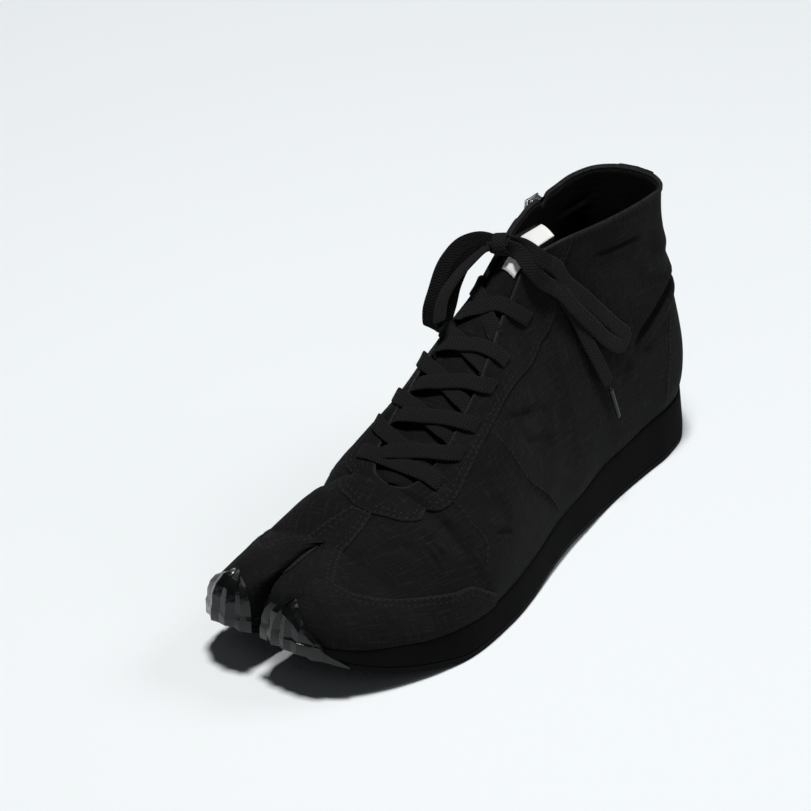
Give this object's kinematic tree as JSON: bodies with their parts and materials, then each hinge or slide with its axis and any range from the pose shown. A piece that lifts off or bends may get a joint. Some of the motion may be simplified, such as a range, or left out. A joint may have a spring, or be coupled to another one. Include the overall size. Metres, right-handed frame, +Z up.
{
  "type": "split-toe high-top sneaker",
  "caption": "Left split-toe canvas high-top with a laced front, medial zip and rubber sole; the hollow upper takes a foot through its collar.",
  "frame": {"origin": "on the floor under the middle of the shoe's box, loose lace left out", "axes": "toes towards -Y, heel +Y, lateral side +X, medial side -X, +Z up"},
  "size_m": [0.1122, 0.3052, 0.1622],
  "materials": {
    "canvas": "matte slubby cotton canvas",
    "midsole_foam": "matte rubber foam",
    "outsole_rubber": "matte rubber",
    "guard_rubber": "glossy rubber",
    "insole_cloth": "matte cloth",
    "label_cloth": "bare white woven tape",
    "lace_cotton": "flat herringbone cotton",
    "lace_tip": "clear shrunk tip on black lace",
    "zip_metal": "bright nickel",
    "pull_metal": "bright nickel"
  },
  "bodies": {
    "shoe": {"midsole": "midsole_foam", "outsole": "outsole_rubber", "insole": "insole_cloth", "upper": "canvas", "toe_overlay": "canvas", "eyestay": "canvas", "backstay": "canvas", "toe_guard_lateral": "guard_rubber", "toe_guard_medial": "guard_rubber", "tongue": "canvas", "tongue_label": "label_cloth", "lace_rows": "lace_cotton", "zip_tape": "canvas", "zip_teeth": "zip_metal", "zip_slider": "zip_metal", "lace_knot": "lace_cotton", "lace_loop_medial": "lace_cotton", "lace_end_medial": "lace_cotton", "lace_loop_lateral": "lace_cotton", "lace_end_lateral": "lace_cotton", "lace_tip_lateral": "lace_tip"},
    "zip_pull": {"zip_pull_tab": "pull_metal"}
  },
  "joints": [
    {"name": "pull_tab_swing", "type": "hinge", "parent": "shoe", "child": "zip_pull", "pos_m": [-0.03696, 0.09821, 0.13173], "axis": [0, 0.999, -0.0457], "range_deg": [0, 160]}
  ]
}
